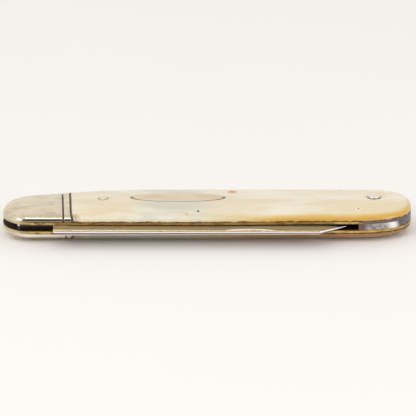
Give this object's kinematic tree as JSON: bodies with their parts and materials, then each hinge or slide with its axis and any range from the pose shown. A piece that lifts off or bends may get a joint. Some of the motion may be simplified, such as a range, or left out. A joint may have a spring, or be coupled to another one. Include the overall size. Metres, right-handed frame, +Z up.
{
  "type": "folding pocket knife",
  "caption": "Slim folding pocket knife with pearl scales, metal bolsters at one end, an oval shield and a steel blade folded into the handle.",
  "frame": {"origin": "on the surface that the knife lies on, under the middle of its bounding box", "axes": "+X along the handle, from the bolster end to the butt; +Y across it, from the edge where the blade comes out to the back; +Z up through the handle's thickness"},
  "size_m": [0.0826, 0.0188, 0.0071],
  "materials": {
    "pearl": "polished mother of pearl",
    "bolster_silver": "worn polished nickel silver",
    "shield_silver": "worn nickel silver",
    "pin_silver": "worn nickel silver",
    "liner_brass": "stained brass",
    "blade_steel": "worn polished carbon steel",
    "spring_steel": "lightly pitted steel"
  },
  "bodies": {
    "handle": {"backspring": "spring_steel", "upper_liner": "liner_brass", "lower_liner": "liner_brass", "upper_bolster": "bolster_silver", "lower_bolster": "bolster_silver", "upper_scale": "pearl", "lower_scale": "pearl", "shield": "shield_silver", "shield_pins": "pin_silver", "pivot_pin": "bolster_silver", "spring_pin": "pin_silver", "butt_pin": "pin_silver", "scale_pins": "pin_silver", "bolster_rivets": "pin_silver"},
    "blade": {"blade": "blade_steel"}
  },
  "joints": [
    {"name": "blade_pivot", "type": "hinge", "parent": "handle", "child": "blade", "pos_m": [-0.03445, -0.00175, 0.00335], "axis": [0, 0, -1], "range_deg": [0, 180], "deforming": ["backspring"]}
  ]
}
